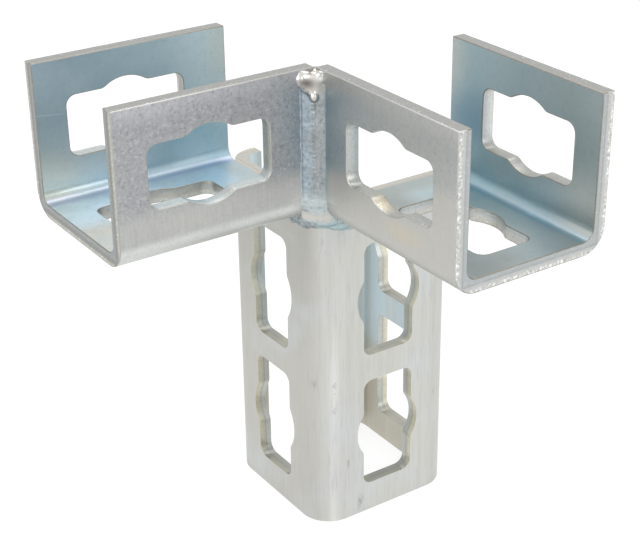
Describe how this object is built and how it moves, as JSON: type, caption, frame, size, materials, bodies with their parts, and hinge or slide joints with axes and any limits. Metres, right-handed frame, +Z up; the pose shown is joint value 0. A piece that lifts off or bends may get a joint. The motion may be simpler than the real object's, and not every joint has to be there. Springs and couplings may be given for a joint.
{
  "type": "strut angle fitting",
  "caption": "Welded corner fitting for strut framing: two open saddle arms at right angles on a slotted channel post.",
  "frame": {"origin": "middle of the post's lower end", "axes": "+Z up along the post, +X along the left arm, +Y along the right arm"},
  "size_m": [0.11, 0.11, 0.1475],
  "materials": {
    "zinc_sheet": "bright zinc plating on rolled sheet",
    "weld": "as welded, zinc plated"
  },
  "bodies": {
    "root": {"left_arm": "zinc_sheet", "right_arm": "zinc_sheet", "post": "zinc_sheet", "weld_bead": "weld"}
  },
  "joints": []
}
